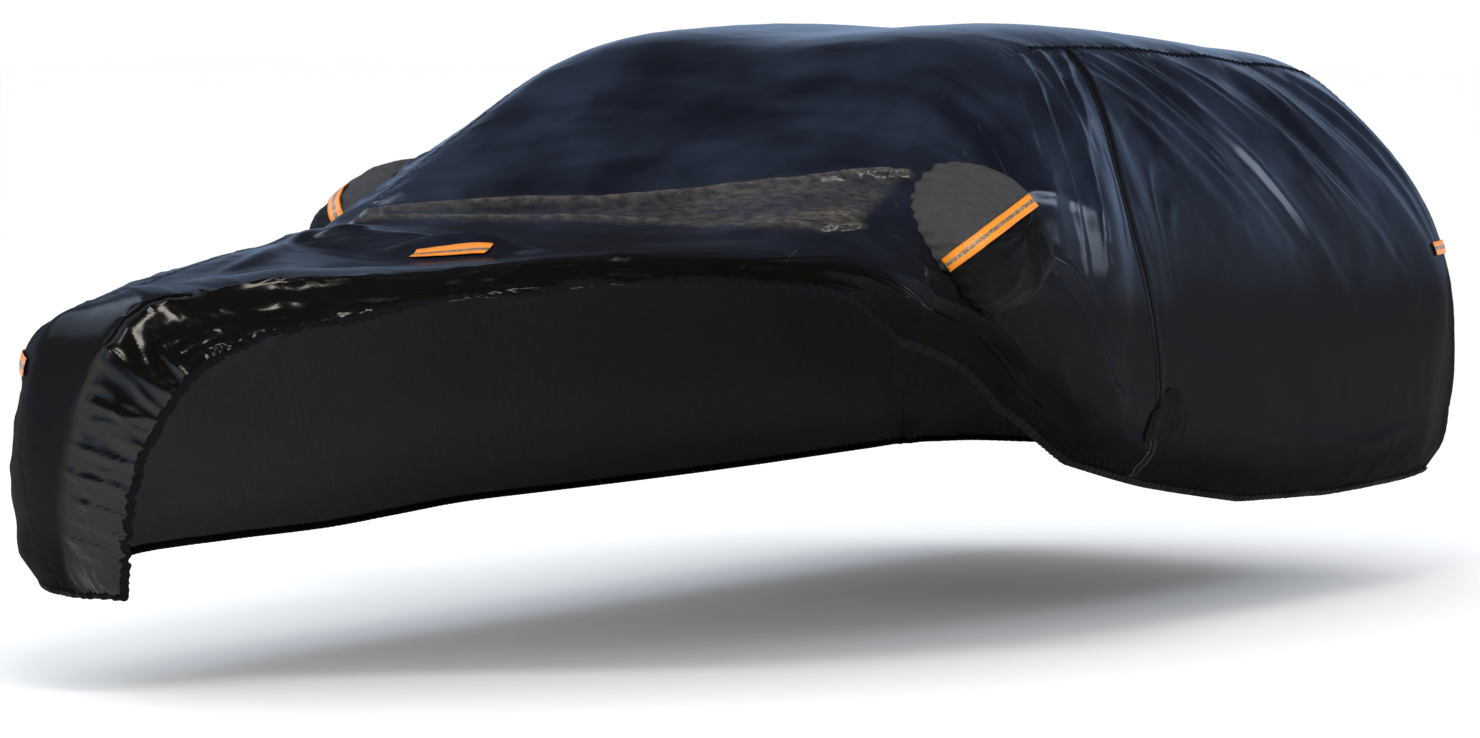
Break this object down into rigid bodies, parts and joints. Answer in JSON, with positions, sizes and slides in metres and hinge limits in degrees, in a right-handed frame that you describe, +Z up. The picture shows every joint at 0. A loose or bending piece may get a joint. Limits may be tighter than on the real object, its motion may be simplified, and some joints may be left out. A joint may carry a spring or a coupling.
{
  "type": "car cover",
  "caption": "Fitted car cover as a hollow cloth shell, its hem peeled back over the bonnet and front doors, with mirror pockets, a door zip and reflective corner strips.",
  "frame": {"origin": "the mount under the roof cloth, 1.90 m behind the front axle line and 1.49 m above the ground", "axes": "+Z up, -Y to the front of the car, +X to the car's left side"},
  "size_m": [2.1977, 4.4678, 1.3014],
  "materials": {
    "cover_cloth": "laminated dark navy to black coated cloth, semi-gloss, creased",
    "pocket_cloth": "matte dark grey woven cloth",
    "reflective_tape": "bright orange tape with a silver-grey reflective line along its middle",
    "zip_tape": "matte black woven tape"
  },
  "bodies": {
    "root": {"top_panel": "cover_cloth", "side_panel_right": "cover_cloth", "side_panel_left_front": "cover_cloth", "side_panel_left_rear": "cover_cloth", "zip_flap": "cover_cloth", "door_zip": "zip_tape", "zip_patch": "zip_tape", "mirror_pocket_left": "pocket_cloth", "mirror_pocket_right": "pocket_cloth", "strip_mirror_left": "reflective_tape", "strip_mirror_right": "reflective_tape", "strip_front_left": "reflective_tape", "strip_front_right": "reflective_tape", "strip_rear_left": "reflective_tape", "strip_rear_right": "reflective_tape"}
  },
  "joints": []
}
